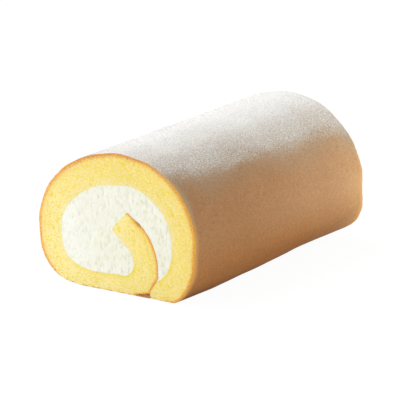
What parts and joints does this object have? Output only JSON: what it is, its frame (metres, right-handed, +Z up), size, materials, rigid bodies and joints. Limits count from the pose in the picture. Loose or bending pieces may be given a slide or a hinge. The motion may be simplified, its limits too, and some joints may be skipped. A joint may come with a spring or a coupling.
{
  "type": "swiss roll cake",
  "caption": "Swiss roll cake: a sheet of yellow sponge with a browned, sugar-dusted skin, rolled round whipped cream and cut square at its ends.",
  "frame": {"origin": "on the table, under the middle of the roll", "axes": "+Y along the roll, away from the shown cut end at -Y; +Z up; +X to the right seen from the shown cut end, the side where the seam lies"},
  "size_m": [0.1011, 0.161, 0.0761],
  "materials": {
    "sponge": "matt yellow sponge crumb, with a browned skin dusted with icing sugar",
    "cream": "soft satin whipped cream"
  },
  "bodies": {
    "root": {"sponge": "sponge", "cream": "cream"}
  },
  "joints": []
}
